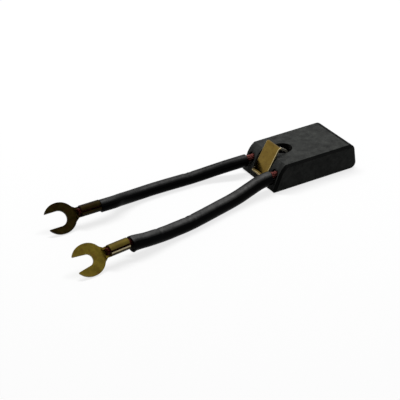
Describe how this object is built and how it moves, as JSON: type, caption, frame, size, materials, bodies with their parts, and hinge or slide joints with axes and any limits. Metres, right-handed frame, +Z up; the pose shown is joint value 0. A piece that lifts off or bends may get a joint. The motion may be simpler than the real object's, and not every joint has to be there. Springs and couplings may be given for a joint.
{
  "type": "carbon brush",
  "caption": "Rectangular carbon brush with a rounded lead end, a brass clip hooked into a hole, and sleeved copper leads ending in fork terminals.",
  "frame": {"origin": "centre of the block on the surface that it lies on", "axes": "+X along the block towards the contact face, the leads leave towards -X; +Y across the width towards the far lead; +Z up through the thickness"},
  "size_m": [0.1274, 0.0435, 0.0143],
  "materials": {
    "graphite": "matte pressed graphite",
    "clip_brass": "satin",
    "tamping": "matte",
    "copper_rope": "stranded copper",
    "sleeve_black": "semi-gloss",
    "terminal_brass": "tarnished satin"
  },
  "bodies": {
    "root": {"carbon_block": "graphite", "wear_clip": "clip_brass", "tamping_far": "tamping", "tamping_near": "tamping", "rope_far": "copper_rope", "rope_near": "copper_rope", "sleeve_far": "sleeve_black", "sleeve_near": "sleeve_black", "terminal_far": "terminal_brass", "terminal_near": "terminal_brass"}
  },
  "joints": []
}
